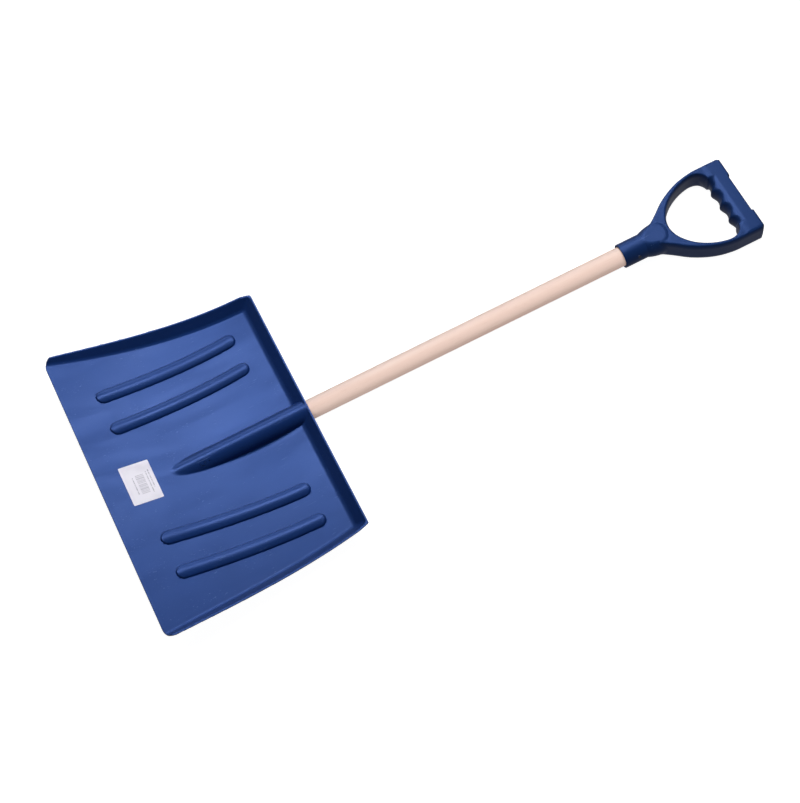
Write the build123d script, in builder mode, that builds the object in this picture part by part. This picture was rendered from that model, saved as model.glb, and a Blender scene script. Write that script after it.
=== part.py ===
"""Snow shovel with a moulded scoop, a round wooden shaft and a moulded D-grip.

Units are millimetres.  The shovel lies on its back with the scoop open upwards.
+X runs from the cutting edge to the grip, +Z is up and the middle plane is Y = 0.
X = 0 is half way along and Z = 0 is the ground under the socket and the grip.
"""
import os

from build123d import *

# ---- whole shovel ---------------------------------------------------------------
TOTAL_LENGTH = 968.0
FRONT_X = -TOTAL_LENGTH / 2          # cutting edge
BACK_X = TOTAL_LENGTH / 2            # far end of the grip
AXIS_Z = 17.5                        # height of the shaft axis above the ground

# ---- wooden shaft ---------------------------------------------------------------
SHAFT_DIAMETER = 28.0
SHAFT_FRONT_X = -358.0
SHAFT_BACK_X = 349.0
FIT_GAP = 0.2                        # radial gap between the wood and a socket
END_GAP = 1.5                        # gap between the end of the wood and a socket floor

# ---- blade ----------------------------------------------------------------------
SHEET = 3.0                          # floor thickness
RIM_WIDTH = 3.5                      # flat top of the walls
FLOOR_BACK_X = -204.0                # where the floor meets the rear wall
FLOOR_BACK_HEIGHT = 2.7              # floor above the shaft axis at the rear wall
FLOOR_BACK_SLOPE = 0.18
FLOOR_FRONT_HEIGHT = 46.0            # cutting edge above the shaft axis
FLOOR_FRONT_SLOPE = -0.36
RIM_HALF_FRONT = 225.0               # half width over the rims at the cutting edge
RIM_HALF_BACK = 195.5                # half width over the rims at the rear wall
RIM_BACK_X = -186.0                  # rearmost line of the blade
WALL_HEIGHT = 14.2
WALL_HEIGHT_FRONT = 6.5
WALL_FLARE = 12.0                    # outward lean of a full-height side wall
REAR_FLARE = 14.5                    # backward lean of the rear wall
FRONT_CORNER = 18.0
FLOOR_FILLET = 2.5

RIB_LENGTH = 205.0
RIB_WIDTH = 19.4
RIB_HEIGHT = 4.5
RIB_MIDDLE_X = -336.5
RIB_ROWS = ((145.8, 2.6), (95.0, 3.8))   # (distance from the middle, splay in degrees)

SOCKET_RADIUS = 16.2                 # at the mouth, just below the rear rim
SOCKET_NOSE_RADIUS = 15.6
SOCKET_NOSE_X = -404.0
SOCKET_FILLET = 1.5                  # blend between the socket and the scoop

# ---- D-grip ---------------------------------------------------------------------
GRIP_RIM_X = 293.0
GRIP_SOCKET_RADIUS = 17.5
GRIP_LEAD_IN = 1.8                   # chamfer inside the mouth of the grip socket
GRIP_DEPTH = 35.0
GRIP_OUTLINE = ((345.0, 17.0), (361.0, 28.0), (379.0, 42.0), (400.0, 53.5),
                (421.0, 60.6), (445.0, 63.8))
GRIP_HALF_WIDTH = 63.8
HOLE_OUTLINE = ((370.0, 0.0), (372.5, 13.0), (378.5, 24.0), (387.5, 34.5), (400.0, 43.8),
                (414.0, 50.8), (428.0, 55.0), (441.0, 56.5))
HOLE_BACK_X = 464.0
WEB_OUTLINE = ((431.0, 57.0), (439.0, 54.8), (446.0, 52.0), (451.0, 47.0), (453.5, 40.0))
GRIP_EDGE = 2.0                      # rounding of the frame's edges
BAR_INNER_X = 449.5                  # crests between the finger grooves
BAR_OUTER_X = 480.5                  # recessed outer edge of the bar
RECESS_HALF = 32.0
FINGER_PITCH = 24.0
FINGER_RADIUS = 18.0
FINGER_RING_X = 478.0                # middle of the rings that cut the finger grooves
FINGER_DEPTH = 4.5
SHOULDER_START_X = 328.0
SHOULDER_X = 350.0
SHOULDER_RADIUS = 22.3

# ---- label ----------------------------------------------------------------------
LABEL_X = -432.0
LABEL_LENGTH = 40.0                  # along X
LABEL_WIDTH = 60.0
LABEL_CORNER = 1.5
LABEL_THICKNESS = 0.2
LABEL_GAP = 0.03                     # room for the glue

# ---- fixings --------------------------------------------------------------------
BLADE_SCREW_X = -226.0
GRIP_NAIL_X = 314.0
GRIP_NAIL_TILT = 22.0                # degrees above level, on the -Y side
SCREW_SHANK = 2.0                    # radii of the countersunk wood screw
SCREW_HEAD = 4.0
SCREW_HEAD_DEPTH = 2.6
SCREW_LENGTH = 20.0
SCREW_BASE_Z = 0.8                   # sunk head, clear of the ground
SCREW_GAP = 0.05
NAIL_SHANK = 1.1                     # radii of the round-headed nail
NAIL_HEAD = 2.4
NAIL_LENGTH = 22.0
BASE = (Align.CENTER, Align.CENTER, Align.MIN)


def floor_height(x):
    """Height of the blade floor above the ground at station x."""
    span = FLOOR_BACK_X - FRONT_X
    s = (x - FRONT_X) / span
    front = (1 + 2 * s) * (1 - s) ** 2 * FLOOR_FRONT_HEIGHT
    front += s * (1 - s) ** 2 * span * FLOOR_FRONT_SLOPE
    back = s * s * (3 - 2 * s) * FLOOR_BACK_HEIGHT
    back += s * s * (s - 1) * span * FLOOR_BACK_SLOPE
    return AXIS_Z + front + back


def wall_height(x):
    """Height of the side walls above the floor, lower towards the cutting edge."""
    s = min(max((x - FRONT_X) / (FLOOR_BACK_X - FRONT_X), 0.0), 1.0)
    return WALL_HEIGHT_FRONT + (WALL_HEIGHT - WALL_HEIGHT_FRONT) * (1 - (1 - s) ** 3.5)


def rim_half(x):
    """Half width of the blade over its rims at station x."""
    s = (x - FRONT_X) / (RIM_BACK_X - FRONT_X)
    return RIM_HALF_FRONT + (RIM_HALF_BACK - RIM_HALF_FRONT) * s


def floor_slab(low, high, x_from, x_to, half_width):
    """Curved slab that follows the floor, from `low` to `high` above it."""
    stations = [x_from + (x_to - x_from) * i / 6 for i in range(7)]
    with BuildPart() as slab:
        with BuildSketch(Plane.XZ):
            with BuildLine():
                bottom = Spline([(x, floor_height(x) + low) for x in stations])
                top = Spline([(x, floor_height(x) + high) for x in stations])
                Line(bottom @ 0, top @ 0)
                Line(bottom @ 1, top @ 1)
            make_face()
        extrude(amount=half_width, both=True)
    return slab.part


# =================================================================================
# Blade: a dished tray with sloping walls, four hollow ribs and a socket
# =================================================================================
STATIONS = [-492.0, -468.0, -440.0, -400.0, -350.0, -300.0, -250.0, -204.0, -176.0]

# Solid that fills the tray out to its underside and up to the rims.
with BuildPart() as tray_body:
    for x in STATIONS:
        top = rim_half(x)
        lean = WALL_FLARE / WALL_HEIGHT
        base = top - lean * (wall_height(x) + SHEET)
        z_top = floor_height(x) + wall_height(x)
        z_base = floor_height(x) - SHEET
        with BuildSketch(Plane.YZ.offset(x)):
            with BuildLine():
                Polyline((-top, z_top), (-base, z_base), (base, z_base), (top, z_top), close=True)
            make_face()
            fillet(vertices().group_by(Axis.Y)[0], radius=FLOOR_FILLET + SHEET)
    loft()
    with BuildSketch(Plane.XY) as plan:
        with BuildLine():
            Polyline((FRONT_X, -RIM_HALF_FRONT), (RIM_BACK_X, -RIM_HALF_BACK),
                     (RIM_BACK_X, RIM_HALF_BACK), (FRONT_X, RIM_HALF_FRONT), close=True)
        make_face()
        fillet(vertices().group_by(Axis.X)[0], radius=FRONT_CORNER)
    extrude(amount=200, mode=Mode.INTERSECT)

# Hollow of the tray: the scoop space, open at the top and at the cutting edge.
with BuildPart() as tray_hollow:
    for x in STATIONS:
        lean = WALL_FLARE / WALL_HEIGHT
        base = rim_half(x) - RIM_WIDTH - lean * wall_height(x)
        rise = wall_height(x) + 6
        top = base + lean * rise
        z_top = floor_height(x) + rise
        z_base = floor_height(x)
        with BuildSketch(Plane.YZ.offset(x)):
            with BuildLine():
                Polyline((-top, z_top), (-base, z_base), (base, z_base), (top, z_top), close=True)
            make_face()
            fillet(vertices().group_by(Axis.Y)[0], radius=FLOOR_FILLET)
    loft()

# Faces of the rear wall, which leans back.
REAR_RIM_Z = floor_height(FLOOR_BACK_X) + WALL_HEIGHT
REAR_NORMAL = Vector(WALL_HEIGHT, 0, -REAR_FLARE)
REAR_OUTER = Plane(origin=(RIM_BACK_X, 0, REAR_RIM_Z), x_dir=(0, 1, 0), z_dir=REAR_NORMAL)
REAR_INNER = Plane(origin=(RIM_BACK_X - RIM_WIDTH, 0, REAR_RIM_Z), x_dir=(0, 1, 0),
                   z_dir=REAR_NORMAL)

with BuildPart() as scoop_space:
    add(tray_hollow.part)
    split(bisect_by=REAR_INNER, keep=Keep.BOTTOM)
    rear_edges = edges().filter_by_position(Axis.Z, 0, REAR_RIM_Z)
    rear_edges = rear_edges.filter_by(
        lambda e: abs((e.center() - REAR_INNER.origin).dot(REAR_INNER.z_dir)) < 0.05)
    fillet(rear_edges, radius=FLOOR_FILLET)

# Ribs: rounded bars pressed up out of the floor, hollow underneath.
RIBS = [(side, row, splay) for row, splay in RIB_ROWS for side in (1, -1)]

with BuildPart() as rib_bars:
    for side, row, splay in RIBS:
        with BuildSketch(Plane.XY):
            with Locations(Location((RIB_MIDDLE_X, side * row, 0), (0, 0, side * splay))):
                SlotOverall(RIB_LENGTH, RIB_WIDTH)
        extrude(amount=100)
    add(floor_slab(-SHEET / 2, RIB_HEIGHT, -470.0, -210.0, 200.0), mode=Mode.INTERSECT)
    rib_tops = faces().filter_by(lambda f: f.normal_at().Z > 0.8)
    fillet(rib_tops.edges(), radius=RIB_HEIGHT - 1.0)

with BuildPart() as rib_hollows:
    for side, row, splay in RIBS:
        with BuildSketch(Plane.XY):
            with Locations(Location((RIB_MIDDLE_X, side * row, 0), (0, 0, side * splay))):
                SlotOverall(RIB_LENGTH - 2 * SHEET - 1, RIB_WIDTH - 2 * SHEET - 1)
        extrude(amount=100)
    add(floor_slab(-2 * SHEET, RIB_HEIGHT - SHEET, -470.0, -210.0, 200.0), mode=Mode.INTERSECT)

# Socket: a tapering tube around the wood with a rounded nose, cut open for the wood.
with BuildPart() as socket:
    with BuildSketch(Plane.XZ):
        with BuildLine():
            mouth_x = RIM_BACK_X - 2.0
            shoulder_x = SOCKET_NOSE_X + SOCKET_NOSE_RADIUS
            Polyline((shoulder_x, AXIS_Z + SOCKET_NOSE_RADIUS),
                     (mouth_x, AXIS_Z + SOCKET_RADIUS), (mouth_x, AXIS_Z),
                     (SOCKET_NOSE_X, AXIS_Z))
            CenterArc((shoulder_x, AXIS_Z), SOCKET_NOSE_RADIUS, 90, 90)
        make_face()
    revolve(axis=Axis((0, 0, AXIS_Z), (1, 0, 0)))

with BuildPart() as blade:
    add(tray_body.part)
    split(bisect_by=REAR_OUTER, keep=Keep.BOTTOM)
    add(scoop_space.part, mode=Mode.SUBTRACT)
    # level the rim of the rear wall
    with Locations((FLOOR_BACK_X, 0, REAR_RIM_Z)):
        Box(2 * REAR_FLARE, 2 * RIM_HALF_FRONT, 2 * WALL_HEIGHT,
            align=(Align.MIN, Align.CENTER, Align.MIN), mode=Mode.SUBTRACT)
    # socket, blended into the floor and the rear wall
    add(socket.part)
    socket_foot = edges(Select.NEW).filter_by(
        lambda e: e.center().Z > floor_height(e.center().X) - 1
        and e.bounding_box().max.X < RIM_BACK_X - RIM_WIDTH + 0.1)
    fillet(socket_foot, radius=SOCKET_FILLET)
    add(rib_bars.part)
    add(rib_hollows.part, mode=Mode.SUBTRACT)
    bore_end = SHAFT_FRONT_X - END_GAP
    with Locations(Location((bore_end, 0, AXIS_Z), (0, 90, 0))):
        Cylinder(SHAFT_DIAMETER / 2 + FIT_GAP, 250,
                 align=BASE, mode=Mode.SUBTRACT)
    with Locations((BLADE_SCREW_X, 0, 0)):
        Cylinder(SCREW_HEAD + SCREW_GAP, SCREW_BASE_Z, align=BASE, mode=Mode.SUBTRACT)
    with Locations((BLADE_SCREW_X, 0, SCREW_BASE_Z)):
        Cone(SCREW_HEAD + SCREW_GAP, SCREW_SHANK + SCREW_GAP, SCREW_HEAD_DEPTH, align=BASE,
             mode=Mode.SUBTRACT)
        Cylinder(SCREW_SHANK + SCREW_GAP, AXIS_Z / 2, align=BASE, mode=Mode.SUBTRACT)
blade.part.label = "blade"

# =================================================================================
# Shaft: a plain round wooden pole with pilot holes for its two fixings
# =================================================================================
NAIL_PLANE = Plane(origin=(GRIP_NAIL_X, 0, AXIS_Z), x_dir=(1, 0, 0),
                   z_dir=Vector(0, -1, 0).rotate(Axis.X, -GRIP_NAIL_TILT))
NAIL_TIP = GRIP_SOCKET_RADIUS - NAIL_LENGTH        # along the nail, from the shaft axis

with BuildPart() as shaft:
    with Locations(Location((SHAFT_FRONT_X, 0, AXIS_Z), (0, 90, 0))):
        Cylinder(SHAFT_DIAMETER / 2, SHAFT_BACK_X - SHAFT_FRONT_X, align=BASE)
    chamfer(edges().filter_by(GeomType.CIRCLE), length=1.0)
    with Locations((BLADE_SCREW_X, 0, 0)):
        Cylinder(SCREW_SHANK + SCREW_GAP, SCREW_BASE_Z + SCREW_LENGTH + 0.5, align=BASE,
                 mode=Mode.SUBTRACT)
    with Locations(NAIL_PLANE.offset(NAIL_TIP - 0.5).location):
        Cylinder(NAIL_SHANK + SCREW_GAP, NAIL_LENGTH, align=BASE, mode=Mode.SUBTRACT)
shaft.part.label = "shaft"

# =================================================================================
# D-grip: a socket with a shouldered neck, two strap arms and a bar for the fingers
# =================================================================================
with BuildPart() as finger_cut:
    for row in (-1.5, -0.5, 0.5, 1.5):
        ring = FINGER_RING_X - BAR_INNER_X - FINGER_DEPTH + FINGER_RADIUS
        with Locations(Location((FINGER_RING_X, row * FINGER_PITCH, AXIS_Z), (90, 0, 0))):
            Torus(ring, FINGER_RADIUS)
    split(bisect_by=Plane.YZ.offset(FINGER_RING_X), keep=Keep.BOTTOM)

with BuildPart() as d_grip:
    # flat D-shaped frame
    with BuildSketch(Plane.XY.offset(AXIS_Z)):
        with BuildLine():
            bend = Spline(GRIP_OUTLINE, tangents=((1, 0.45), (1, 0)))
            Polyline(bend @ 1, (BACK_X - 4, GRIP_HALF_WIDTH), (BACK_X, GRIP_HALF_WIDTH - 4),
                     (BACK_X, 0))
            Line((GRIP_OUTLINE[0][0], 0), bend @ 0)
            mirror(about=Plane.XZ)
        make_face()
        with BuildLine():
            near_side = [(x, -y) for x, y in reversed(HOLE_OUTLINE[1:])]
            inner = Spline(near_side + list(HOLE_OUTLINE), tangents=((-1, 0), (1, 0)))
            hole_half = HOLE_OUTLINE[-1][1]
            Polyline(inner @ 0, (HOLE_BACK_X, -hole_half), (HOLE_BACK_X, hole_half), inner @ 1)
        make_face(mode=Mode.SUBTRACT)
    extrude(amount=GRIP_DEPTH / 2, both=True)
    flat_edges = faces().filter_by(Axis.Z).edges()
    neck_x = GRIP_OUTLINE[0][0]
    fillet(flat_edges.filter_by(lambda e: e.center().X > neck_x + 0.1), radius=GRIP_EDGE)
    # finger bar, rounded on the side that faces the hand
    with BuildSketch(Plane.XZ):
        with BuildLine():
            front = (BAR_INNER_X, AXIS_Z)
            low = (BAR_OUTER_X - 14.0, AXIS_Z - GRIP_DEPTH / 2)
            high = (BAR_OUTER_X - 14.0, AXIS_Z + GRIP_DEPTH / 2)
            Spline(low, front, high, tangents=((-1, 0), (0, 1), (1, 0)))
            Polyline(high, (BAR_OUTER_X, high[1]), (BAR_OUTER_X, low[1]), low)
        make_face()
    extrude(amount=GRIP_HALF_WIDTH - 6.0, both=True)
    add(finger_cut.part, mode=Mode.SUBTRACT)
    # webs that round off the corners between the arms and the bar
    with BuildSketch(Plane.XY.offset(AXIS_Z)):
        with BuildLine():
            web = Spline(WEB_OUTLINE)
            Polyline(web @ 1, (HOLE_BACK_X, WEB_OUTLINE[-1][1]), (HOLE_BACK_X, WEB_OUTLINE[0][1]),
                     web @ 0)
        make_face()
        mirror(about=Plane.XZ)
    extrude(amount=GRIP_DEPTH / 2 - GRIP_EDGE, both=True)
    # shallow recess along the outer edge
    with Locations((BAR_OUTER_X, 0, AXIS_Z)):
        Box(20, 2 * RECESS_HALF, GRIP_DEPTH + 2,
            align=(Align.MIN, Align.CENTER, Align.CENTER), mode=Mode.SUBTRACT)
    # neck: a round socket that swells before the arms start
    with BuildSketch(Plane.XZ):
        with BuildLine():
            Polyline((GRIP_RIM_X, AXIS_Z), (GRIP_RIM_X, AXIS_Z + GRIP_SOCKET_RADIUS - 0.8),
                     (GRIP_RIM_X + 0.8, AXIS_Z + GRIP_SOCKET_RADIUS),
                     (SHOULDER_START_X, AXIS_Z + GRIP_SOCKET_RADIUS))
            Spline((SHOULDER_START_X, AXIS_Z + GRIP_SOCKET_RADIUS),
                   (SHOULDER_X, AXIS_Z + SHOULDER_RADIUS),
                   (HOLE_OUTLINE[0][0] - 1.0, AXIS_Z),
                   tangents=((1, 0.1), (0, -1)))
            Line((HOLE_OUTLINE[0][0] - 1.0, AXIS_Z), (GRIP_RIM_X, AXIS_Z))
        make_face()
    revolve(axis=Axis((0, 0, AXIS_Z), (1, 0, 0)))
    with Locations((0, 0, AXIS_Z)):
        Box(2 * TOTAL_LENGTH, 200, GRIP_DEPTH, mode=Mode.INTERSECT)
    with Locations(Location((GRIP_RIM_X - 1, 0, AXIS_Z), (0, 90, 0))):
        Cylinder(SHAFT_DIAMETER / 2 + FIT_GAP, SHAFT_BACK_X + END_GAP - GRIP_RIM_X + 1,
                 align=BASE, mode=Mode.SUBTRACT)
    with Locations(Location((GRIP_RIM_X, 0, AXIS_Z), (0, 90, 0))):
        bore_radius = SHAFT_DIAMETER / 2 + FIT_GAP
        Cone(bore_radius + GRIP_LEAD_IN, bore_radius, GRIP_LEAD_IN, align=BASE,
             mode=Mode.SUBTRACT)
    with Locations(NAIL_PLANE.location):
        Cylinder(NAIL_SHANK + SCREW_GAP, 30, align=BASE, mode=Mode.SUBTRACT)
d_grip.part.label = "d_grip"

# =================================================================================
# Label: a thin sticker that follows the floor
# =================================================================================
with BuildPart() as label:
    with BuildSketch(Plane.XY):
        with Locations((LABEL_X, 0)):
            RectangleRounded(LABEL_LENGTH, LABEL_WIDTH, LABEL_CORNER)
    extrude(amount=100)
    add(floor_slab(LABEL_GAP, LABEL_GAP + LABEL_THICKNESS, -470.0, -390.0, 60.0),
        mode=Mode.INTERSECT)
label.part.label = "label"

# =================================================================================
# Fixings: a countersunk wood screw under the blade socket, a nail in the grip socket
# =================================================================================
with BuildPart() as blade_screw:
    with Locations((BLADE_SCREW_X, 0, SCREW_BASE_Z)):
        Cone(SCREW_HEAD, SCREW_SHANK, SCREW_HEAD_DEPTH, align=BASE)
        Cylinder(SCREW_SHANK, SCREW_LENGTH - 4.0, align=BASE)
        Box(1.0, 2 * SCREW_HEAD - 2.5, 1.0, align=BASE, mode=Mode.SUBTRACT)
        Box(2 * SCREW_HEAD - 2.5, 1.0, 1.0, align=BASE, mode=Mode.SUBTRACT)
    with Locations((BLADE_SCREW_X, 0, SCREW_BASE_Z + SCREW_LENGTH - 4.0)):
        Cone(SCREW_SHANK, 0.2, 4.0, align=BASE)
blade_screw.part.label = "blade_screw"

with BuildPart() as grip_nail:
    with BuildSketch(Plane.XZ):
        with BuildLine():
            Polyline((0, GRIP_SOCKET_RADIUS - NAIL_LENGTH), (NAIL_SHANK, NAIL_TIP + 3.0),
                     (NAIL_SHANK, GRIP_SOCKET_RADIUS + 0.1), (NAIL_HEAD, GRIP_SOCKET_RADIUS + 0.1),
                     (NAIL_HEAD, GRIP_SOCKET_RADIUS + 0.5))
            Spline((NAIL_HEAD, GRIP_SOCKET_RADIUS + 0.5), (0, GRIP_SOCKET_RADIUS + 1.3),
                   tangents=((-0.5, 1), (-1, 0)))
            Line((0, GRIP_SOCKET_RADIUS + 1.3), (0, GRIP_SOCKET_RADIUS - NAIL_LENGTH))
        make_face()
    revolve(axis=Axis.Z)
grip_nail.part = NAIL_PLANE.location * grip_nail.part
grip_nail.part.label = "grip_nail"

os.makedirs("parts", exist_ok=True)
for piece in (blade, shaft, d_grip, label, blade_screw, grip_nail):
    export_step(piece.part, f"parts/{piece.part.label}.step")
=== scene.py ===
"""Looks of the snow shovel: moulded scoop and D-grip, wooden pole, sticker and fixings.

Shapes are worked out in millimetres, in the frame of the CAD model, and made in metres.
The two mouldings are described by distance formulas: negative inside, positive outside.
"""

import math

import bpy
import numpy as np
from mathutils import Matrix, Vector
from mathutils.geometry import interpolate_bezier


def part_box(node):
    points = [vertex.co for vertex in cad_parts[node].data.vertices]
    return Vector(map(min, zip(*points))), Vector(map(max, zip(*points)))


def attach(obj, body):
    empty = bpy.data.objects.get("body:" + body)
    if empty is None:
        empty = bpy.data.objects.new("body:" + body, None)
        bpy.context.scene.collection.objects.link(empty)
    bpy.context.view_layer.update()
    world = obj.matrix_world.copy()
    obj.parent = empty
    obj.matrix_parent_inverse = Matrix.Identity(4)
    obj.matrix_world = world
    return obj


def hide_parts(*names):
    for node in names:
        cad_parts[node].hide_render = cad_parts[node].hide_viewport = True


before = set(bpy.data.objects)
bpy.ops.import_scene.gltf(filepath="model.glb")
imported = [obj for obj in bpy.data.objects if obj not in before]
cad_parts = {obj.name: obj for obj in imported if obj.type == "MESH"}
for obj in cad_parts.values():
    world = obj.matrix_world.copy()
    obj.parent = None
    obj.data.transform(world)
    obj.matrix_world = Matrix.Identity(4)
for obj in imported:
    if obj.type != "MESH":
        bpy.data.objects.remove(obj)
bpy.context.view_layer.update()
MM = 0.001


def corners_mm(node):
    """Lowest and highest corner of a CAD node, in millimetres."""
    low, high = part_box(node)
    return low / MM, high / MM


BLADE_LOW, BLADE_HIGH = corners_mm("blade")
GRIP_LOW, GRIP_HIGH = corners_mm("d_grip")
SHAFT_LOW, SHAFT_HIGH = corners_mm("shaft")
LABEL_LOW, LABEL_HIGH = corners_mm("label")
SCREW_LOW, SCREW_HIGH = corners_mm("blade_screw")

# ---- sizes in millimetres -------------------------------------------------------
AXIS_Z = (SHAFT_LOW.z + SHAFT_HIGH.z) / 2
SHAFT_RADIUS = (SHAFT_HIGH.z - SHAFT_LOW.z) / 2
FIT_GAP = 0.2
BORE_END_GAP = 0.5                   # between the wood and the end of the blade's bore
BORE_MOUTH_ROUND = 0.4

FRONT_X = BLADE_LOW.x                # cutting edge
RIM_BACK_X = BLADE_HIGH.x            # rearmost line of the blade
RIM_HALF_FRONT = 225.0
RIM_HALF_BACK = 195.5
RIM_WIDTH = 3.5
SHEET = 3.0
FLOOR_BACK_X = -204.0
FLOOR_BACK_HEIGHT = 2.7
FLOOR_BACK_SLOPE = 0.18
FLOOR_FRONT_HEIGHT = 46.0
FLOOR_FRONT_SLOPE = -0.36
WALL_HEIGHT = 14.2
WALL_HEIGHT_FRONT = 6.5
WALL_FLARE = 12.0
REAR_FLARE = 14.5
FRONT_CORNER = 18.0
REAR_CORNER = 2.0
REAR_CORNER_INSIDE = 3.0
FLOOR_FILLET = 2.5
MOULD_EDGE = 0.9                     # rounding of the moulded edges
RIM_TOP_Z = BLADE_HIGH.z - 0.1       # keeps the rounded rim inside the CAD box

RIB_LENGTH = 205.0
RIB_WIDTH = 19.4
RIB_HEIGHT = 4.5
RIB_CROWN = 2.4                      # how far the top falls from its middle to its sides
RIB_EDGE = 1.5
RIB_FOOT = 0.8                       # fillet round the foot of a rib
RIB_WALL = 3.5                       # plastic left beside the hollow under a rib
RIB_HOLLOW_ROUND = 1.5
RIB_MIDDLE_X = -336.5
RIB_ROWS = ((145.8, 2.6), (95.0, 3.8))      # distance from the middle line, turn in degrees

SOCKET_RADIUS = 16.2
SOCKET_NOSE_RADIUS = 15.6
SOCKET_NOSE_X = -404.0
SOCKET_FILLET = 1.0
SOCKET_DRAFT = 0.25                  # lean of the sides under the axis
BORE_END_ROUND = 1.8
SOCKET_MOUTH_X = RIM_BACK_X - 2.0

SCREW_MIDDLE_X = (SCREW_LOW.x + SCREW_HIGH.x) / 2
SCREW_HEAD_RADIUS = (SCREW_HIGH.y - SCREW_LOW.y) / 2
SCREW_CLEARANCE = 0.1

GRIP_RIM_X = GRIP_LOW.x
GRIP_BACK_X = GRIP_HIGH.x
GRIP_SOCKET_RADIUS = 17.5
GRIP_LEAD_IN = 1.8
GRIP_BORE_GAP = 1.5                  # between the wood and the end of the grip's bore
GRIP_BACK_BEVEL = 4.0
GRIP_HALF_DEPTH = (GRIP_HIGH.z - GRIP_LOW.z) / 2
GRIP_HALF_WIDTH = GRIP_HIGH.y
GRIP_OUTLINE = ((345.0, 17.0), (361.0, 28.0), (379.0, 42.0), (400.0, 53.5),
                (421.0, 60.6), (445.0, 63.8))
HOLE_OUTLINE = ((370.0, 0.0), (372.5, 13.0), (378.5, 24.0), (387.5, 34.5), (400.0, 43.8),
                (414.0, 50.6), (428.0, 54.6), (438.0, 55.2), (446.0, 52.6), (451.0, 47.0),
                (453.5, 40.0))
HOLE_BACK_X = 464.0                  # inside the bar, which closes the hole
STRAP_ROUND = 3.6                    # edge rounding of the frame, in plan
STRAP_ROUND_DEPTH = 9.0              # the same rounding, measured in depth
FACE_ROUND = 1.5                     # rounding between the outer faces and the rest
BAR_INNER_X = 449.5
BAR_OUTER_X = 480.5
BAR_END_INSET = 6.0                  # how far the bar stops short of the grip's sides
BAR_FILLET = 4.0
RECESS_HALF = 32.0
RECESS_ROUND = 1.0
FINGER_PITCH = 24.0
FINGER_RADIUS = 18.0
FINGER_RING_X = 478.0
FINGER_DEPTH = 4.5
FINGER_EDGE = 1.2
SHOULDER_START_X = 328.0
SHOULDER_X = 350.0
SHOULDER_RADIUS = 22.3
SHOULDER_FILLET = 2.0

GRID_MARGIN = 3.0                    # how far the grids reach past the shapes
GRIP_CELL = 0.9                      # grid step of the grip
RELAX_ROUNDS = 3                     # smoothing of the mesh lines along the surface
EVENING = 0.5                        # share of the way to the neighbours at each round


# =================================================================================
# Shape tools
# =================================================================================
def round_meet(a, b, radius):
    """Both shapes at once, with the edge between them rounded."""
    edge = np.hypot(np.maximum(a + radius, 0), np.maximum(b + radius, 0))
    return np.minimum(np.maximum(a, b), -radius) + edge


def round_join(a, b, radius):
    """Either shape, with a fillet between them."""
    return -round_meet(-a, -b, radius)


def round_cut(a, b, radius):
    """Shape a without shape b, with a rounded edge."""
    return round_meet(a, -b, radius)


def skin(distance, xs, ys, zs, warp=lambda x, y, z: (x, y, z)):
    """Points, four-sided faces and normals of the surface where the distance is zero.

    The warp bends the straight grid so that its lines follow the shape.
    """
    axes = (xs, ys, zs)
    field = distance(*warp(*np.meshgrid(*axes, indexing="ij", sparse=True)))
    inside = field < 0
    cells = np.array(field.shape) - 1
    corners = [(i, j, k) for i in (0, 1) for j in (0, 1) for k in (0, 1)]
    filled = np.zeros(cells, np.int8)
    for i, j, k in corners:
        filled += inside[i:i + cells[0], j:j + cells[1], k:k + cells[2]]
    crossed = (filled > 0) & (filled < 8)
    number = np.full(cells, -1)
    number[crossed] = np.arange(crossed.sum())
    place = np.argwhere(crossed)

    # each crossed cell holds one point, the mean of the crossings on its edges
    total = np.zeros((len(place), 3))
    hits = np.zeros(len(place))
    for axis in range(3):
        for corner in (c for c in corners if c[axis] == 0):
            start = place + corner
            stop = start.copy()
            stop[:, axis] += 1
            value_a = field[tuple(start.T)]
            value_b = field[tuple(stop.T)]
            hit = (value_a < 0) != (value_b < 0)
            share = value_a[hit] / (value_a[hit] - value_b[hit])
            point_a = np.stack([axes[n][start[hit, n]] for n in range(3)], 1)
            point_b = np.stack([axes[n][stop[hit, n]] for n in range(3)], 1)
            total[hit] += point_a + share[:, None] * (point_b - point_a)
            hits += hit
    points = np.stack(warp(*(total / hits[:, None]).T), 1)

    # one face for every grid line that passes through the surface
    faces = []
    for axis in range(3):
        u, v = (axis + 1) % 3, (axis + 2) % 3
        lower = np.delete(inside, -1, axis)
        upper = np.delete(inside, 0, axis)
        line = np.argwhere(lower != upper)
        line = line[(line[:, u] > 0) & (line[:, v] > 0)
                    & (line[:, u] < cells[u]) & (line[:, v] < cells[v])]
        quad = []
        for back_u, back_v in ((1, 1), (0, 1), (0, 0), (1, 0)):
            cell = line.copy()
            cell[:, u] -= back_u
            cell[:, v] -= back_v
            quad.append(number[tuple(cell.T)])
        quad = np.stack(quad, 1)
        outward = lower[tuple(line.T)]
        faces.append(np.where(outward[:, None], quad, quad[:, ::-1]))
    faces = np.concatenate(faces)

    points = settled(distance, points)
    for _ in range(RELAX_ROUNDS):
        points = settled(distance, evened(points, faces))
    return points, faces.tolist(), slope_at(distance, points)[1]


def slope_at(distance, points):
    """The distance at each point and the direction in which it grows."""
    step = 0.02
    value = distance(*points.T)
    slope = np.stack([(distance(*(points + step * way).T) - value) / step
                      for way in np.eye(3)], 1)
    return value, slope


def settled(distance, points):
    """The points moved onto the exact surface, never further than the reach at a time."""
    reach = 0.5
    for _ in range(3):
        value, slope = slope_at(distance, points)
        move = (value / np.maximum((slope ** 2).sum(1), 0.05))[:, None] * slope
        length = np.linalg.norm(move, axis=1, keepdims=True)
        points = points - move * np.minimum(1, reach / np.maximum(length, 1e-9))
    return points


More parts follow.
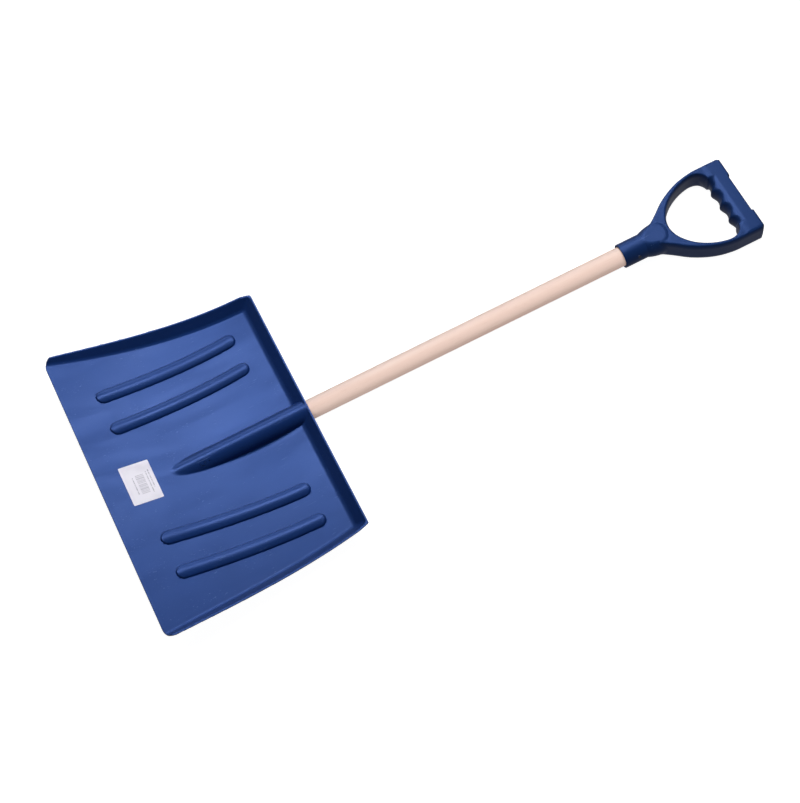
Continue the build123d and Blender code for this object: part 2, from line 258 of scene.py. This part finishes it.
def evened(points, faces):
    """Each point moved part of the way to the middle of its neighbours."""
    total = np.zeros_like(points)
    count = np.zeros(len(points))
    for side in (1, -1):
        for corner in range(4):
            near = faces[:, (corner + side) % 4]
            for axis in range(3):
                total[:, axis] += np.bincount(faces[:, corner], points[near, axis], len(points))
            count += np.bincount(faces[:, corner], minlength=len(points))
    return points + EVENING * (total / np.maximum(count, 1)[:, None] - points)


def make_piece(name, points, faces, normals=None):
    """A smooth-shaded mesh object from points in millimetres."""
    mesh = bpy.data.meshes.new(name)
    mesh.from_pydata((np.asarray(points) * MM).tolist(), [], faces)
    mesh.shade_smooth()
    if normals is not None:
        lengths = np.maximum(np.linalg.norm(normals, axis=1, keepdims=True), 1e-9)
        mesh.normals_split_custom_set_from_vertices((normals / lengths).tolist())
    piece = bpy.data.objects.new(name, mesh)
    bpy.context.scene.collection.objects.link(piece)
    return piece


def spaced(start, stop, step):
    """Evenly spaced values from start to stop, about one step apart."""
    return np.linspace(start, stop, max(2, round((stop - start) / step) + 1))


def joined_spans(*spans):
    """Grid lines over several (start, stop, step) spans that follow each other."""
    return np.unique(np.concatenate([spaced(*span) for span in spans]).round(6))


def smooth_curve(points, first, last, per_span=6):
    """Points on a smooth curve through the given ones; first and last are end tangents."""
    knots = [Vector(p) for p in points]
    tangents = [Vector(first)]
    tangents += [(after - before) / 2 for before, after in zip(knots, knots[2:])]
    tangents += [Vector(last)]
    curve = []
    for n in range(len(knots) - 1):
        handle_a = knots[n] + tangents[n] / 3
        handle_b = knots[n + 1] - tangents[n + 1] / 3
        curve += interpolate_bezier(knots[n], handle_a, handle_b, knots[n + 1], per_span + 1)[:-1]
    return [tuple(p) for p in curve + [knots[-1]]]


def polygon_distance(x, y, outline):
    """Signed distance in the plane from a closed outline, negative inside."""
    nearest = np.full(np.broadcast(x, y).shape, np.inf)
    inside = np.zeros(nearest.shape, bool)
    for (ax, ay), (bx, by) in zip(outline, outline[1:] + outline[:1]):
        run, rise = bx - ax, by - ay
        along = np.clip(((x - ax) * run + (y - ay) * rise) / (run ** 2 + rise ** 2), 0, 1)
        gap = (x - ax - along * run) ** 2 + (y - ay - along * rise) ** 2
        nearest = np.minimum(nearest, gap)
        if rise != 0:
            passed = ((ay > y) != (by > y)) & (x < run * (y - ay) / rise + ax)
            inside ^= passed
    return np.where(inside, -1, 1) * np.sqrt(nearest)


# =================================================================================
# Blade
# =================================================================================
def floor_height(x):
    """Height of the blade floor above the ground at station x."""
    span = FLOOR_BACK_X - FRONT_X
    s = (x - FRONT_X) / span
    front = (1 + 2 * s) * (1 - s) ** 2 * FLOOR_FRONT_HEIGHT
    front += s * (1 - s) ** 2 * span * FLOOR_FRONT_SLOPE
    back = s * s * (3 - 2 * s) * FLOOR_BACK_HEIGHT
    back += s * s * (s - 1) * span * FLOOR_BACK_SLOPE
    return AXIS_Z + front + back


def wall_height(x):
    """Height of the side walls above the floor, lower towards the cutting edge."""
    s = np.clip((x - FRONT_X) / (FLOOR_BACK_X - FRONT_X), 0, 1)
    return WALL_HEIGHT_FRONT + (WALL_HEIGHT - WALL_HEIGHT_FRONT) * (1 - (1 - s) ** 3.5)


def rim_half(x):
    """Half width of the blade over its rims at station x."""
    s = (x - FRONT_X) / (RIM_BACK_X - FRONT_X)
    return RIM_HALF_FRONT + (RIM_HALF_BACK - RIM_HALF_FRONT) * s


REAR_RIM_Z = floor_height(FLOOR_BACK_X) + WALL_HEIGHT


def above_floor(x, z):
    """Distance above the curved floor, square to it."""
    slope = floor_height(x + 0.5) - floor_height(x - 0.5)
    return (z - floor_height(x)) / np.hypot(1, slope)


def side_wall(x, y, z, inset):
    """Distance outside the leaning side wall whose rim line lies inset from the outline."""
    lean = WALL_FLARE / WALL_HEIGHT
    drop = floor_height(x) + wall_height(x) - z
    return (np.abs(y) - rim_half(x) + inset + lean * drop) / math.hypot(1, lean)


def rear_wall(x, z, inset):
    """Distance behind the leaning rear wall whose rim line lies inset from the blade's end."""
    lean = REAR_FLARE / WALL_HEIGHT
    return (x - RIM_BACK_X + inset + lean * (REAR_RIM_Z - z)) / math.hypot(1, lean)


def tray_distance(x, y, z):
    """The dished tray: floor, side walls and rear wall."""
    level = above_floor(x, z)
    walls = round_meet(side_wall(x, y, z, 0), rear_wall(x, z, 0), REAR_CORNER)
    body = round_meet(-level - SHEET, walls, FLOOR_FILLET)
    rim_top = np.where(x > FLOOR_BACK_X, REAR_RIM_Z, floor_height(x) + wall_height(x))
    body = round_meet(body, z - np.minimum(rim_top, RIM_TOP_Z), MOULD_EDGE)
    outline = round_meet(FRONT_X - x, np.abs(y) - rim_half(x), FRONT_CORNER)
    body = round_meet(body, outline, MOULD_EDGE)
    body = round_meet(body, x - RIM_BACK_X, MOULD_EDGE)
    inner_side = side_wall(x, y, z, RIM_WIDTH)
    inner_walls = round_meet(inner_side, rear_wall(x, z, RIM_WIDTH), REAR_CORNER_INSIDE)
    hollow = round_meet(-level, inner_walls, FLOOR_FILLET)
    return round_cut(body, hollow, MOULD_EDGE)


def rib_plan(x, y, row, splay):
    """Distance in plan from the round-ended outline of a rib and of its mirror image."""
    turn = math.radians(splay)
    ahead = x - RIB_MIDDLE_X
    aside = np.abs(y) - row
    along = ahead * math.cos(turn) + aside * math.sin(turn)
    across = aside * math.cos(turn) - ahead * math.sin(turn)
    past_end = np.maximum(np.abs(along) - (RIB_LENGTH - RIB_WIDTH) / 2, 0)
    return np.hypot(across, past_end) - RIB_WIDTH / 2


def socket_distance(x, y, z):
    """The tapering tube around the wood, with its round nose."""
    shoulder_x = SOCKET_NOSE_X + SOCKET_NOSE_RADIUS
    taper = (SOCKET_RADIUS - SOCKET_NOSE_RADIUS) / (SOCKET_MOUTH_X - shoulder_x)
    radius = SOCKET_NOSE_RADIUS + taper * np.maximum(x - shoulder_x, 0)
    rho = np.hypot(y, z - AXIS_Z)
    tube = np.hypot(rho, np.minimum(x - shoulder_x, 0)) - radius
    # where the floor dips below the axis, drafted sides fill the hollow under the tube
    sides = np.abs(y) - radius - SOCKET_DRAFT * (AXIS_Z - z)
    skirt = np.maximum(sides, np.maximum(z - AXIS_Z, floor_height(x) - SHEET / 2 - z))
    return round_meet(np.minimum(tube, skirt), x - SOCKET_MOUTH_X, MOULD_EDGE)


def with_ribs(shape, x, y, z):
    """The tray with its raised ribs, which are hollow from below."""
    level = above_floor(x, z)
    for row, splay in RIB_ROWS:
        plan = rib_plan(x, y, row, splay)
        fall = RIB_CROWN * (1 + plan * 2 / RIB_WIDTH) ** 2
        bar = round_meet(plan, level - RIB_HEIGHT + fall, RIB_EDGE)
        bar = np.maximum(bar, -level - SHEET / 2)
        shape = round_join(shape, bar, RIB_FOOT)
        pocket = round_meet(plan + RIB_WALL, level - RIB_HEIGHT + SHEET, RIB_HOLLOW_ROUND)
        shape = round_cut(shape, pocket, MOULD_EDGE)
    return shape


def screw_recess(x, y, z):
    """The funnel under the socket that the screw's head sinks into."""
    narrowing = 0.75
    steepness = math.hypot(1, narrowing)
    funnel = np.hypot(x - SCREW_MIDDLE_X, y) - SCREW_HEAD_RADIUS - SCREW_CLEARANCE
    funnel = (funnel + narrowing * np.maximum(z - SCREW_LOW.z, 0)) / steepness
    return np.maximum(funnel, z - AXIS_Z / 2)


def blade_distance(x, y, z):
    """The whole moulded blade."""
    shape = tray_distance(x, y, z)
    shape = round_join(shape, socket_distance(x, y, z), SOCKET_FILLET)
    shape = with_ribs(shape, x, y, z)
    rho = np.hypot(y, z - AXIS_Z)
    bore_start = SHAFT_LOW.x - BORE_END_GAP
    bore = round_meet(rho - SHAFT_RADIUS - FIT_GAP, bore_start - x, BORE_END_ROUND)
    shape = round_cut(shape, bore, BORE_MOUTH_ROUND)
    return np.maximum(shape, -screw_recess(x, y, z))


def along_floor(x, y, z):
    """Bends a straight grid so that it follows the curved floor and the narrowing sides."""
    every = np.zeros(np.broadcast(x, y, z).shape)
    return x + every, y * rim_half(x) / RIM_HALF_FRONT + every, z + floor_height(x) + every


def make_blade():
    """The blade's mesh, with finer grid steps wherever the shape turns quickly."""
    fine_front = FRONT_X + 6
    fine_nose = SOCKET_NOSE_X - 2
    nose_end = SHAFT_LOW.x + 6
    fine_back = FLOOR_BACK_X - 10
    xs = joined_spans((FRONT_X - GRID_MARGIN, fine_front, 1.5), (fine_front, fine_nose, 4.2),
                      (fine_nose, nose_end, 1.7), (nose_end, fine_back, 3.4),
                      (fine_back, RIM_BACK_X + GRID_MARGIN, 1.6))
    # across: socket, floor, inner rib, floor, outer rib, floor, side wall
    half = joined_spans((0, 19.2, 0.8), (19.2, 80, 3.0), (80, 112, 1.7), (112, 130, 3.0),
                        (130, 163, 1.7), (163, 203, 3.0),
                        (203, RIM_HALF_FRONT + GRID_MARGIN, 1.2))
    # heights are above the floor: from well under its sheet to over the socket's crown
    lowest = -AXIS_Z - FLOOR_FRONT_HEIGHT / 2
    floor_low = floor_height(np.linspace(FRONT_X, RIM_BACK_X, 99)).min()
    highest = AXIS_Z + SOCKET_RADIUS - floor_low + GRID_MARGIN
    # small shifts keep the grid lines off the exact faces of the shape
    ys = np.concatenate([-half[:0:-1], half]) + 0.01
    zs = spaced(lowest, highest, 0.9) + 0.013
    return make_piece("blade_moulding", *skin(blade_distance, xs, ys, zs, along_floor))


# =================================================================================
# D-grip
# =================================================================================
def mirrored(side):
    """A closed outline from its +Y half, which starts and ends near the middle line."""
    return list(side) + [(x, -y) for x, y in reversed(side) if y > 0]


ARM_CURVE = smooth_curve(GRIP_OUTLINE, (14, 7), (20, 0))
GRIP_PLAN = mirrored(ARM_CURVE + [(GRIP_BACK_X - GRIP_BACK_BEVEL, GRIP_HALF_WIDTH),
                                  (GRIP_BACK_X, GRIP_HALF_WIDTH - GRIP_BACK_BEVEL)])
HOLE_PLAN = mirrored(smooth_curve(HOLE_OUTLINE, (0, 13), (2, -7))
                     + [(HOLE_BACK_X, HOLE_OUTLINE[-1][1])])


def neck_distance(x, y, z):
    """The round grip socket, which swells into a shoulder where the arms start."""
    rho = np.hypot(y, z - AXIS_Z)
    s = np.clip((x - SHOULDER_START_X) / (SHOULDER_X - SHOULDER_START_X), 0, 1)
    swell = SHOULDER_RADIUS - GRIP_SOCKET_RADIUS
    radius = GRIP_SOCKET_RADIUS + swell * np.sin(s * math.pi / 2) ** 0.9
    tube = (rho - radius) * 0.95
    tip = HOLE_OUTLINE[0][0] - 1.0 - SHOULDER_X
    bulb = (np.hypot(rho / SHOULDER_RADIUS, (x - SHOULDER_X) / tip) - 1) * tip
    neck = np.where(x < SHOULDER_X, tube, bulb)
    return round_meet(neck, GRIP_RIM_X - x, MOULD_EDGE)


def finger_bar_distance(x, y, z):
    """The bar, rounded towards the hand, with a groove for each finger."""
    depth = z - AXIS_Z
    centre_x = BAR_INNER_X + GRIP_HALF_DEPTH
    bar = np.hypot(np.minimum(x - centre_x, 0), depth) - GRIP_HALF_DEPTH
    bar = round_meet(bar, x - BAR_OUTER_X, FACE_ROUND)
    bar = np.maximum(bar, np.abs(y) - GRIP_HALF_WIDTH + BAR_END_INSET)
    ring = FINGER_RING_X - BAR_INNER_X - FINGER_DEPTH + FINGER_RADIUS
    reach = np.hypot(x - FINGER_RING_X, depth) - ring
    for row in (-1.5, -0.5, 0.5, 1.5):
        groove = np.hypot(reach, y - row * FINGER_PITCH) - FINGER_RADIUS
        bar = round_cut(bar, np.maximum(groove, x - FINGER_RING_X), FINGER_EDGE)
    return bar


def grip_distance(x, y, z):
    """The whole moulded grip."""
    depth = np.abs(z - AXIS_Z) - GRIP_HALF_DEPTH
    plan = np.maximum(polygon_distance(x, y, GRIP_PLAN), -polygon_distance(x, y, HOLE_PLAN))
    # the edges of the frame are rounded like tall ellipses
    across = np.maximum(plan + STRAP_ROUND, 0) / STRAP_ROUND
    upright = np.maximum(depth + STRAP_ROUND_DEPTH, 0) / STRAP_ROUND_DEPTH
    shape = (np.hypot(across, upright) - 1) * STRAP_ROUND
    shape = round_join(shape, neck_distance(x, y, z), SHOULDER_FILLET)
    shape = round_join(shape, finger_bar_distance(x, y, z), BAR_FILLET)
    recess = round_meet(BAR_OUTER_X - x, np.abs(y) - RECESS_HALF, RECESS_ROUND)
    shape = round_cut(shape, recess, RECESS_ROUND)
    shape = round_meet(shape, depth, FACE_ROUND)
    lead_in = np.maximum(GRIP_RIM_X + GRIP_LEAD_IN - x, 0)
    rho = np.hypot(y, z - AXIS_Z)
    bore = rho - SHAFT_RADIUS - FIT_GAP - lead_in
    bore = np.maximum(bore, x - SHAFT_HIGH.x - GRIP_BORE_GAP)
    return round_cut(shape, bore, BORE_MOUTH_ROUND)


def make_grip():
    """The grip's mesh, on an even grid; small shifts keep its lines off the exact faces."""
    def lines(low, high, shift):
        return spaced(low - GRID_MARGIN, high + GRID_MARGIN, GRIP_CELL) + shift

    xs = lines(GRIP_RIM_X, GRIP_BACK_X, 0.02)
    ys = lines(-GRIP_HALF_WIDTH, GRIP_HALF_WIDTH, 0.01)
    zs = lines(GRIP_LOW.z, GRIP_HIGH.z, 0.015)
    return make_piece("grip_moulding", *skin(grip_distance, xs, ys, zs))


# =================================================================================
# Shaft
# =================================================================================
def make_shaft():
    """A turned pole: rings of points along X with broken end edges."""
    sides = 96
    break_edge = 1.0
    ring_step = 6.0
    end_cap = 0.5                    # radius of the small flat cap that closes each end
    body = spaced(SHAFT_LOW.x + break_edge, SHAFT_HIGH.x - break_edge, ring_step)
    profile = [(SHAFT_LOW.x, end_cap), (SHAFT_LOW.x, SHAFT_RADIUS - break_edge)]
    profile += [(x, SHAFT_RADIUS) for x in body]
    profile += [(SHAFT_HIGH.x, SHAFT_RADIUS - break_edge), (SHAFT_HIGH.x, end_cap)]
    angles = [2 * math.pi * n / sides for n in range(sides)]
    points = [(x, radius * math.cos(a), AXIS_Z + radius * math.sin(a))
              for x, radius in profile for a in angles]
    faces = [(ring * sides + n, ring * sides + (n + 1) % sides,
              (ring + 1) * sides + (n + 1) % sides, (ring + 1) * sides + n)
             for ring in range(len(profile) - 1) for n in range(sides)]
    faces.append(tuple(reversed(range(sides))))
    last = (len(profile) - 1) * sides
    faces.append(tuple(range(last, last + sides)))
    pole = make_piece("wooden_pole", points, faces)
    pole.data.flip_normals()
    return pole


# =================================================================================
# Materials
# =================================================================================
class Nodes:
    """A short way to write one node material."""

    def __init__(self, name):
        self.material = bpy.data.materials.new(name)
        self.material.use_nodes = True
        self.tree = self.material.node_tree
        self.shader = self.tree.nodes["Principled BSDF"]
        self.place = self.add("ShaderNodeTexCoord").outputs["Object"]

    def add(self, kind, **values):
        """A new node; values are its own settings, such as an operation."""
        node = self.tree.nodes.new(kind)
        for key, value in values.items():
            setattr(node, key, value)
        return node

    def feed(self, socket, value):
        """Links another node's output to a socket, or sets the socket to a value."""
        if isinstance(value, bpy.types.NodeSocket):
            self.tree.links.new(value, socket)
        else:
            socket.default_value = value

    def stretched(self, scale):
        """Object coordinates multiplied by scale, one factor for each axis."""
        node = self.add("ShaderNodeMapping")
        self.feed(node.inputs["Vector"], self.place)
        node.inputs["Scale"].default_value = scale
        return node.outputs["Vector"]

    def noise(self, scale, detail=3.0, roughness=0.5, distortion=0.0):
        """Noise from 0 to 1; scale is cycles per metre along X, Y and Z."""
        node = self.add("ShaderNodeTexNoise")
        self.feed(node.inputs["Vector"], self.stretched(scale))
        node.inputs["Scale"].default_value = 1.0
        node.inputs["Detail"].default_value = detail
        node.inputs["Roughness"].default_value = roughness
        node.inputs["Distortion"].default_value = distortion
        return node.outputs["Fac"]

    def remap(self, value, low, high, to_low=0.0, to_high=1.0):
        """Value from low..high stretched to to_low..to_high and held there."""
        node = self.add("ShaderNodeMapRange")
        self.feed(node.inputs["Value"], value)
        for key, number in (("From Min", low), ("From Max", high),
                            ("To Min", to_low), ("To Max", to_high)):
            node.inputs[key].default_value = number
        return node.outputs["Result"]

    def math(self, operation, a, b=0.0):
        """The result of a sum, product or comparison of a and b."""
        node = self.add("ShaderNodeMath", operation=operation)
        self.feed(node.inputs[0], a)
        self.feed(node.inputs[1], b)
        return node.outputs["Value"]

    def mix(self, factor, a, b):
        """Colour a turning into colour b as factor goes from 0 to 1."""
        node = self.add("ShaderNodeMix", data_type="RGBA")
        self.feed(node.inputs["Factor"], factor)
        colour_a, colour_b, colour_result = node.inputs[6], node.inputs[7], node.outputs[2]
        self.feed(colour_a, a)
        self.feed(colour_b, b)
        return colour_result

    def bump(self, height, strength, distance):
        """Relief in the surface; distance is in metres for a height of one."""
        node = self.add("ShaderNodeBump")
        self.feed(node.inputs["Height"], height)
        node.inputs["Strength"].default_value = strength
        node.inputs["Distance"].default_value = distance
        self.feed(self.shader.inputs["Normal"], node.outputs["Normal"])

    def set(self, **values):
        """Sets shader sockets; an underscore in a name stands for a space."""
        for key, value in values.items():
            self.feed(self.shader.inputs[key.replace("_", " ")], value)


def toned(colour, factor):
    """A colour made lighter or darker."""
    return [part * factor for part in colour[:3]] + [1]


def plastic(name, body, worn, gloss, tint, shine):
    """Satin moulded plastic with flow marks, fine texture, scuffs and pale worn edges.

    Gloss is the mean roughness. Tint colours the reflections and shine is their strength:
    the photograph's floor is lit mostly by a blue gloss, while its steep walls stay dark.
    """
    n = Nodes(name)
    cloud = n.noise((9, 9, 9), detail=4)
    flow = n.noise((6, 40, 40), detail=5, distortion=0.4)
    colour = n.mix(n.remap(cloud, 0.35, 0.7), body, toned(body, 1.18))
    colour = n.mix(n.remap(flow, 0.45, 0.75, 0, 0.25), colour, toned(body, 0.8))
    # long fine scratches from pushed snow and grit
    scratch = n.math("MULTIPLY", n.remap(n.noise((14, 900, 900), detail=2), 0.66, 0.72),
                     n.remap(n.noise((25, 60, 60), detail=2), 0.5, 0.62))
    colour = n.mix(n.math("MULTIPLY", scratch, 0.35), colour, worn)
    # convex edges rub pale
    geometry = n.add("ShaderNodeNewGeometry")
    edge = n.remap(geometry.outputs["Pointiness"], 0.53, 0.62)
    rubbed = n.math("MULTIPLY", edge, n.remap(n.noise((120, 120, 120), detail=4), 0.4, 0.65))
    colour = n.mix(n.math("MULTIPLY", rubbed, 0.3), colour, worn)
    # small pale specks
    specks = n.remap(n.noise((700, 700, 700), detail=1), 0.76, 0.8)
    colour = n.mix(n.math("MULTIPLY", specks, 0.18), colour, worn)
    rough = n.math("ADD", n.remap(flow, 0.3, 0.7, gloss - 0.05, gloss + 0.06),
                   n.math("MULTIPLY", scratch, 0.2))
    n.set(Base_Color=colour, Roughness=rough, IOR=1.5, Specular_Tint=tint,
          Specular_IOR_Level=shine)
    fine = n.noise((1400, 1400, 1400), detail=2)
    broad = n.noise((28, 28, 28), detail=2)
    height = n.math("ADD", n.math("MULTIPLY", fine, 0.06), broad)
    height = n.math("SUBTRACT", height, n.math("MULTIPLY", scratch, 0.12))
    n.bump(height, 0.25, 0.0012)
    return n.material


def wood(name):
    """Pale sanded hardwood with long grain, pores and a few faint growth bands."""
    n = Nodes(name)
    pale = (0.90, 0.70, 0.61, 1)
    pink = (0.84, 0.60, 0.51, 1)
    brown = (0.55, 0.33, 0.22, 1)
    broad = n.noise((2.2, 55, 55), detail=5, distortion=0.6)
    grain = n.noise((9, 420, 420), detail=6, roughness=0.6, distortion=0.3)
    pores = n.remap(n.noise((70, 1500, 1500), detail=2), 0.64, 0.72)
    colour = n.mix(n.remap(broad, 0.3, 0.7), pale, pink)
    colour = n.mix(n.remap(grain, 0.45, 0.8, 0, 0.4), colour, pink)
    colour = n.mix(n.math("MULTIPLY", pores, 0.25), colour, brown)
    rough = n.remap(grain, 0.3, 0.8, 0.5, 0.68)
    n.set(Base_Color=colour, Roughness=rough, IOR=1.45)
    height = n.math("SUBTRACT", grain, n.math("MULTIPLY", pores, 0.6))
    n.bump(height, 0.25, 0.0004)
    return n.material


def paper(name):
    """White sticker with plain bars and grey dashes, none of them readable."""
    n = Nodes(name)
    sheet = (0.88, 0.85, 0.95, 1)
    grubby = (0.66, 0.62, 0.72, 1)
    ink = (0.16, 0.15, 0.22, 1)
    # the print's places and sizes are in metres from the middle of the sticker
    bar_block_x, bar_block_y = (-0.004, 0.007), (-0.017, 0.012)
    dash_rows = ((0.011, -0.019, 0.014), (0.0145, -0.012, 0.016), (-0.008, -0.016, 0.010))
    dash_half = 0.0007
    middle = (LABEL_LOW + LABEL_HIGH) / 2 * MM
    split = n.add("ShaderNodeSeparateXYZ")
    n.feed(split.inputs["Vector"], n.place)
    x = n.math("SUBTRACT", split.outputs["X"], middle.x)
    y = n.math("SUBTRACT", split.outputs["Y"], middle.y)

    def band(value, low, high):
        """One between low and high, nothing elsewhere."""
        return n.math("MULTIPLY", n.math("GREATER_THAN", value, low),
                      n.math("LESS_THAN", value, high))

    bars = n.remap(n.noise((0, 1100, 0), detail=0), 0.47, 0.53)
    block = n.math("MULTIPLY", band(x, *bar_block_x), band(y, *bar_block_y))
    print_mask = n.math("MULTIPLY", bars, block)
    for row, low, high in dash_rows:
        dashes = n.remap(n.noise((0, 700, 0), detail=1), 0.42, 0.5)
        line = n.math("MULTIPLY", band(x, row - dash_half, row + dash_half), band(y, low, high))
        print_mask = n.math("MAXIMUM", print_mask, n.math("MULTIPLY", line, dashes))
    stain = n.remap(n.noise((60, 60, 60), detail=4), 0.5, 0.75, 0, 0.25)
    colour = n.mix(stain, sheet, grubby)
    colour = n.mix(n.math("MULTIPLY", print_mask, 0.55), colour, ink)
    n.set(Base_Color=colour, Roughness=n.remap(stain, 0, 0.25, 0.42, 0.6), IOR=1.45)
    n.bump(n.noise((900, 900, 900), detail=3), 0.15, 0.0002)
    return n.material


def steel(name, tint, rough):
    """Plated or dark steel with fine marks; rough is its lowest roughness."""
    n = Nodes(name)
    marks = n.noise((1500, 1500, 1500), detail=3)
    stain = n.noise((300, 300, 300), detail=4)
    colour = n.mix(n.remap(stain, 0.45, 0.7, 0, 0.5), tint, toned(tint, 0.6))
    uneven = n.remap(stain, 0.3, 0.7, rough, rough + 0.2)
    n.set(Base_Color=colour, Metallic=1.0, Roughness=uneven)
    n.bump(marks, 0.2, 0.0001)
    return n.material


# =================================================================================
# Assembly
# =================================================================================
def dress(piece, material):
    """Gives the piece one material."""
    piece.data.materials.clear()
    piece.data.materials.append(material)


def settle(piece, node):
    """A new piece that stands for a CAD node."""
    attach(piece, "root")
    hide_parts(node)


BLADE_BLUE = (0.0060, 0.027, 0.130, 1)
GRIP_BLUE = (0.0070, 0.026, 0.105, 1)
WORN_BLUE = (0.16, 0.25, 0.50, 1)
SHEEN_BLUE = (0.23, 0.39, 1.0, 1)    # tint of the plastic's reflections
ZINC = (0.62, 0.62, 0.58, 1)
DARK_STEEL = (0.10, 0.11, 0.16, 1)

blade = make_blade()
dress(blade, plastic("blade_plastic", BLADE_BLUE, WORN_BLUE,
                     gloss=0.33, tint=SHEEN_BLUE, shine=0.5))
settle(blade, "blade")

grip = make_grip()
dress(grip, plastic("grip_plastic", GRIP_BLUE, WORN_BLUE,
                    gloss=0.38, tint=SHEEN_BLUE, shine=0.42))
settle(grip, "d_grip")

pole = make_shaft()
dress(pole, wood("shaft_wood"))
settle(pole, "shaft")

dress(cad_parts["label"], paper("label_paper"))
dress(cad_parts["blade_screw"], steel("zinc_steel", ZINC, rough=0.25))
dress(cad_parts["grip_nail"], steel("nail_steel", DARK_STEEL, rough=0.55))


# =================================================================================
# Stage, light and camera
# =================================================================================
def make_stage():
    """A pale studio floor that curves up into a dome, lit from within like a light table."""
    floor_radius, height = 4000.0, 4000.0
    sides, steps, rings = 96, 24, 8
    bulge = height / 2               # radius of the half round that joins floor and ceiling
    profile = [(floor_radius * n / rings, 0.0) for n in range(1, rings + 1)]
    profile += [(floor_radius + bulge * math.sin(t), bulge * (1 - math.cos(t)))
                for t in (math.pi * n / steps for n in range(1, steps))]
    profile += [(floor_radius * n / rings, height) for n in range(rings, 0, -1)]
    points = [(r * math.cos(a), r * math.sin(a), z) for r, z in profile
              for a in (2 * math.pi * k / sides for k in range(sides))]
    faces = [(ring * sides + k, (ring + 1) * sides + k,
              (ring + 1) * sides + (k + 1) % sides, ring * sides + (k + 1) % sides)
             for ring in range(len(profile) - 1) for k in range(sides)]
    faces += [tuple(range(sides)), tuple(range(len(points) - 1, len(points) - sides - 1, -1))]
    stage = make_piece("studio_stage", points, faces)
    n = Nodes("stage_paint")
    shade = n.mix(n.noise((3, 3, 3)), (0.28, 0.28, 0.28, 1), (0.32, 0.32, 0.32, 1))
    n.set(Base_Color=shade, Roughness=0.9, Emission_Color=(1, 1, 1, 1), Emission_Strength=0.97)
    dress(stage, n.material)
    stage.visible_diffuse = False
    stage.visible_glossy = False
    stage.visible_shadow = False


def softbox(name, direction, distance, size, power, colour=(1, 1, 1)):
    """An area light that looks at the middle of the shovel; lengths are in metres."""
    lamp = bpy.data.lights.new(name, "AREA")
    lamp.shape = "RECTANGLE"
    lamp.size, lamp.size_y = size
    lamp.energy = power
    lamp.color = colour
    light = bpy.data.objects.new(name, lamp)
    light.location = Vector(direction).normalized() * distance
    light.rotation_euler = (-light.location).to_track_quat("-Z", "Y").to_euler()
    bpy.context.scene.collection.objects.link(light)
    return light


CAMERA_PLACE = (-0.2934, -0.9917, 2.1025)
CAMERA_RIGHT = (0.8922, -0.4394, -0.1046)
CAMERA_BACK = (-0.0957, -0.4102, 0.9069)
LENS_MM = 76.21
SENSOR_MM = 36.0


def make_camera():
    """The photograph's viewpoint, about 2.3 m away and looking steeply down."""
    back = Vector(CAMERA_BACK).normalized()
    up = back.cross(Vector(CAMERA_RIGHT)).normalized()
    right = up.cross(back)
    lens = bpy.data.cameras.new("camera")
    lens.sensor_width = SENSOR_MM
    lens.lens = LENS_MM
    camera = bpy.data.objects.new("camera", lens)
    turn = Matrix((right, up, back)).transposed().to_4x4()
    camera.matrix_world = Matrix.Translation(CAMERA_PLACE) @ turn
    bpy.context.scene.collection.objects.link(camera)
    bpy.context.scene.camera = camera


def make_sky():
    """Pale light thrown back by the table below the horizon, and dim light above it."""
    world = bpy.data.worlds.new("studio")
    world.use_nodes = True
    tree = world.node_tree
    way = tree.nodes.new("ShaderNodeTexCoord")
    split = tree.nodes.new("ShaderNodeSeparateXYZ")
    rise = tree.nodes.new("ShaderNodeMapRange")
    for key, number in (("From Min", -0.2), ("From Max", 0.1),
                        ("To Min", 0.34), ("To Max", 0.12)):
        rise.inputs[key].default_value = number
    tree.links.new(way.outputs["Generated"], split.inputs["Vector"])
    tree.links.new(split.outputs["Z"], rise.inputs["Value"])
    tree.links.new(rise.outputs["Result"], tree.nodes["Background"].inputs["Strength"])
    tree.nodes["Background"].inputs["Color"].default_value = (1, 1, 1, 1)
    bpy.context.scene.world = world


COOL_WHITE = (0.62, 0.78, 1.0)
WARM_WHITE = (1.0, 0.96, 0.94)


def make_lights():
    """Soft light from above, two strips that only gloss the plastic, a fill for the pole."""
    key = softbox("key", (0.25, 0.30, 0.92), distance=2.4, size=(1.3, 1.3), power=46)
    key.visible_glossy = False
    sheen = softbox("sheen", (-0.08, 0.48, 0.87), distance=1.9, size=(2.3, 0.5), power=44)
    sheen.visible_diffuse = False
    flank = softbox("flank", (0.05, 0.93, 0.42), distance=2.2, size=(2.4, 0.8), power=26,
                    colour=COOL_WHITE)
    flank.visible_diffuse = False
    low_fill = softbox("low_fill", (-0.1, -0.9, 0.45), distance=2.2, size=(1.6, 0.8),
                       power=21, colour=WARM_WHITE)
    wooden = bpy.data.collections.new("lit_by_low_fill")
    wooden.objects.link(pole)
    low_fill.light_linking.receiver_collection = wooden


make_stage()
make_lights()
make_sky()
make_camera()

bpy.context.scene.view_settings.view_transform = "Standard"
